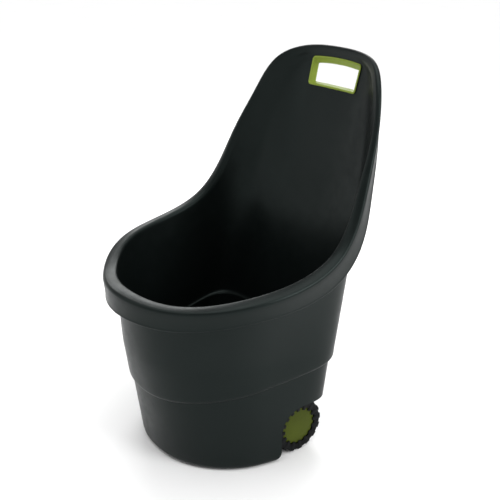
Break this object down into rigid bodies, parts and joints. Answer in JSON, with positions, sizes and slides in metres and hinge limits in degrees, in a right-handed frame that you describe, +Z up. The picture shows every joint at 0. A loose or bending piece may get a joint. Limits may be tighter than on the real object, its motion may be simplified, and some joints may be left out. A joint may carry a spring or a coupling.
{
  "type": "wheeled log cart",
  "caption": "Moulded tub cart for carrying firewood, with a low front lip, a tall leaning back panel with a hand grip, and wheels on a steel axle under the rear.",
  "frame": {"origin": "middle of the footprint box, on the floor", "axes": "+Z up, -Y towards the low front lip, +Y towards the back panel and wheels, X along the axle"},
  "size_m": [0.5284, 0.59, 0.8379],
  "materials": {
    "tub": "satin moulded",
    "grip": "satin moulded",
    "core": "satin moulded",
    "tyre": "matt moulded",
    "hub": "satin moulded",
    "steel": "zinc plated"
  },
  "bodies": {
    "cart": {"tub": "tub", "grip_insert": "grip", "axle": "steel", "inner_washer_left": "steel", "outer_washer_left": "steel", "push_nut_left": "steel", "inner_washer_right": "steel", "outer_washer_right": "steel", "push_nut_right": "steel"},
    "wheel_left": {"wheel_core_left": "core", "tyre_left": "tyre", "hub_cover_left": "hub"},
    "wheel_right": {"wheel_core_right": "core", "tyre_right": "tyre", "hub_cover_right": "hub"}
  },
  "joints": [
    {"name": "wheel_left_spin", "type": "hinge", "parent": "cart", "child": "wheel_left", "pos_m": [-0.173, 0.03549, 0.0618], "axis": [1, 0, 0], "continuous": true},
    {"name": "wheel_right_spin", "type": "hinge", "parent": "cart", "child": "wheel_right", "pos_m": [0.173, 0.03549, 0.0618], "axis": [1, 0, 0], "continuous": true}
  ]
}
